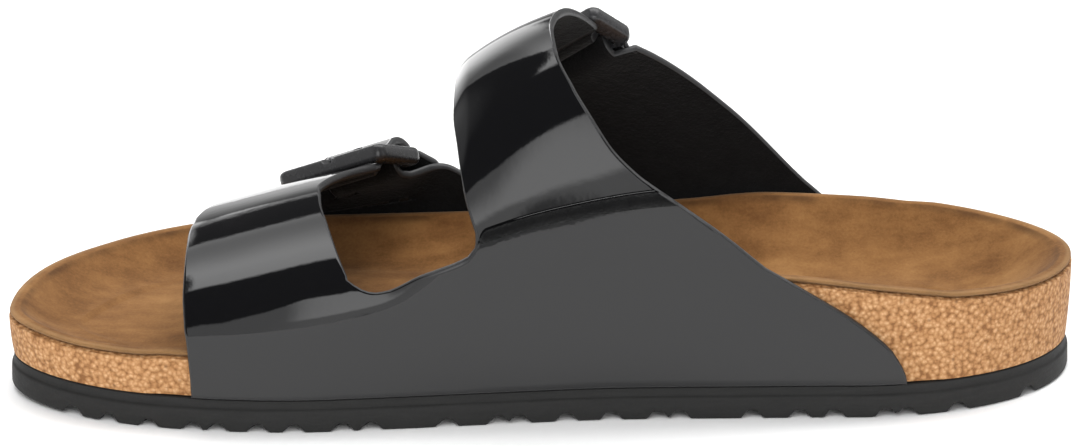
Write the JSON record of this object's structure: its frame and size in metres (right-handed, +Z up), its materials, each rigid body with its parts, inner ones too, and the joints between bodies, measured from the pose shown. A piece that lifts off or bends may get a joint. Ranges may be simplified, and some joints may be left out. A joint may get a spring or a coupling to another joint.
{
  "type": "slide sandal",
  "caption": "Slide sandal for the right foot: glossy leather straps with prong buckles over a suede-covered cork footbed on a grooved outsole.",
  "frame": {"origin": "on the floor under the middle of the sandal's length and breadth", "axes": "+X from the toe to the heel, -Y to the medial (inner) side, +Z up"},
  "size_m": [0.2624, 0.106, 0.092],
  "materials": {
    "outsole": "matt foamed sole rubber",
    "cork": "bare pressed cork granules",
    "suede": "napped brown suede",
    "leather": "mirror-gloss black lacquer outside, black nap inside",
    "buckle": "satin dark",
    "prong": "dark"
  },
  "bodies": {
    "root": {"outsole": "outsole", "midsole_cork": "cork", "insole_suede": "suede", "upper_medial": "leather", "upper_lateral": "leather", "buckle_front_frame": "buckle", "buckle_rear_frame": "buckle", "buckle_front_prong": "prong", "buckle_rear_prong": "prong"}
  },
  "joints": []
}
